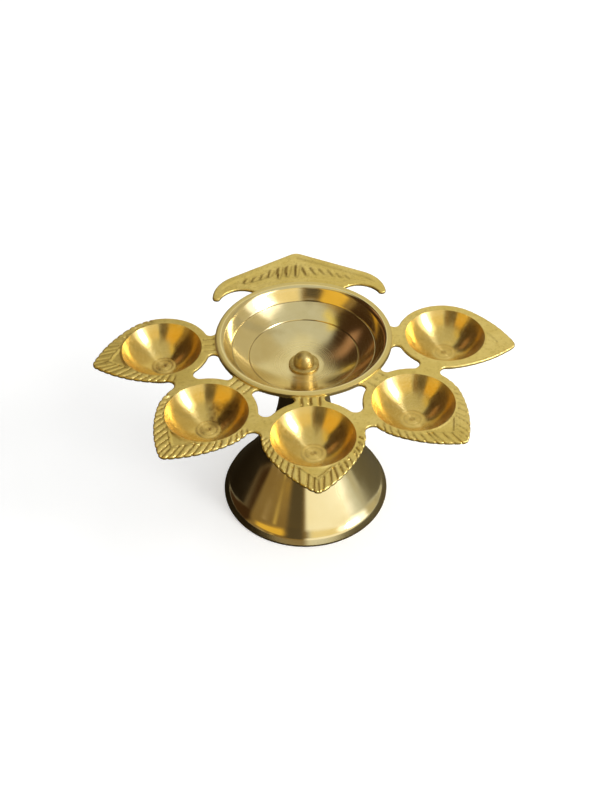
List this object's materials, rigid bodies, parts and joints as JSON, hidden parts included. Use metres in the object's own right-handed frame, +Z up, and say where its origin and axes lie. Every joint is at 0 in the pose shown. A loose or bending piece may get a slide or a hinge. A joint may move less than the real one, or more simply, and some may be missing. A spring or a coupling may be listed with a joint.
{
  "type": "aarti lamp",
  "caption": "Brass aarti lamp: cast plate with a centre bowl, a fan of leaf-shaped wick cups and a winged crest, clamped by a stud and dome nut on a hollow bell pedestal.",
  "frame": {"origin": "centre of the foot ring, on the surface that the lamp stands on", "axes": "+Z up along the stud and the pedestal, the middle leaf towards -Y, the crest towards +Y, +X to the right of the leaves seen from the front"},
  "size_m": [0.1506, 0.1274, 0.079],
  "materials": {
    "cast_brass": "matte as-cast leaves, turned cups, polished bowl",
    "polished_brass": "mirror polished",
    "turned_brass": "turned and buffed",
    "plated_steel": "zinc plated"
  },
  "bodies": {
    "pedestal": {"pedestal": "polished_brass", "clamp_stud": "turned_brass", "plain_washer": "plated_steel", "spring_washer": "plated_steel", "hex_nut": "plated_steel"},
    "plate": {"leaf_plate": "cast_brass"},
    "collar": {"bowl_washer": "turned_brass"},
    "nut": {"dome_nut": "turned_brass"}
  },
  "joints": [
    {"name": "plate_swivel", "type": "hinge", "parent": "pedestal", "child": "plate", "pos_m": [0, 0, 0.063], "axis": [0, 0, 1], "continuous": true},
    {"name": "dome_nut_turn", "type": "hinge", "parent": "pedestal", "child": "collar", "pos_m": [0, 0, 0.065], "axis": [0, 0, 1], "range_deg": [0, 1440.5]},
    {"name": "dome_nut_rise", "type": "slide", "parent": "collar", "child": "nut", "axis": [0, 0, 1], "range_m": [0, 0.0032]}
  ],
  "couplings": [
    {"joint": "dome_nut_turn", "follows": "dome_nut_rise", "rad_per_m": 7854}
  ]
}
